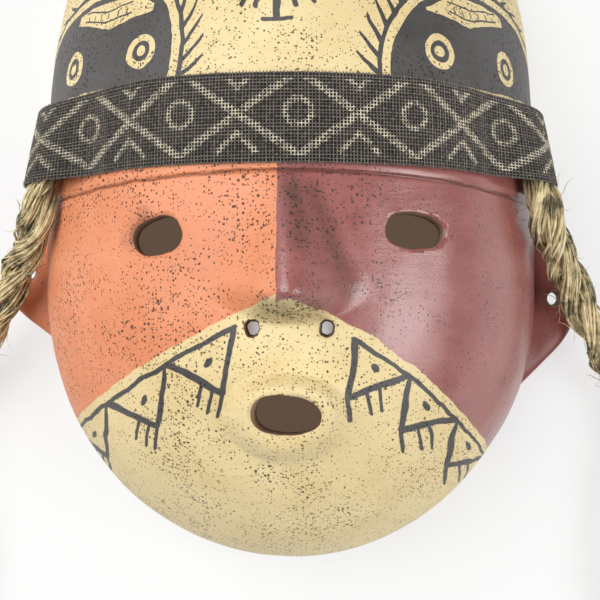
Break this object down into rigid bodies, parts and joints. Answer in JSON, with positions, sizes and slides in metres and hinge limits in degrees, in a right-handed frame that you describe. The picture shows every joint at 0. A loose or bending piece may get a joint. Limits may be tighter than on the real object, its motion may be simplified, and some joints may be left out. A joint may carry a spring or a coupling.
{
  "type": "folk art face mask",
  "caption": "Domed clay face mask with eye, nostril and mouth openings, a woven cloth brow band and a fibre tie rope hanging at each temple.",
  "frame": {"origin": "middle of the mask's outline in the plane of its back rim, without the free ropes", "axes": "+X to the right ear as seen from in front, +Y from chin to crown, +Z out of the face; it rests on its rim with the face up"},
  "size_m": [0.258, 0.309, 0.1034],
  "materials": {
    "painted_clay": "burnished slip with painted zones",
    "orange_clay": "burnished orange slip",
    "rose_clay": "burnished maroon slip",
    "dark_glue": "dried dark glue",
    "band_cloth": "open plain weave",
    "rope_fibre": "coarse laid plant fibre",
    "loose_fibre": "frayed plant fibre"
  },
  "bodies": {
    "mask": {"mask_shell": "painted_clay", "left_ear": "orange_clay", "right_ear": "rose_clay", "band_glue": "dark_glue", "headband": "band_cloth", "left_rope_root": "rope_fibre", "right_rope_root": "rope_fibre"},
    "left_tie": {"left_rope": "rope_fibre", "left_rope_knot": "rope_fibre", "left_rope_tassel": "loose_fibre"},
    "right_tie": {"right_rope": "rope_fibre", "right_rope_knot": "rope_fibre", "right_rope_tassel": "loose_fibre"}
  },
  "joints": [
    {"name": "left_rope_swing", "type": "hinge", "parent": "mask", "child": "left_tie", "pos_m": [-0.08, 0.005, 0.05], "axis": [0, 0, -1], "range_deg": [0, 60]},
    {"name": "right_rope_swing", "type": "hinge", "parent": "mask", "child": "right_tie", "pos_m": [0.08, 0.005, 0.05], "axis": [0, 0, 1], "range_deg": [0, 60]}
  ]
}
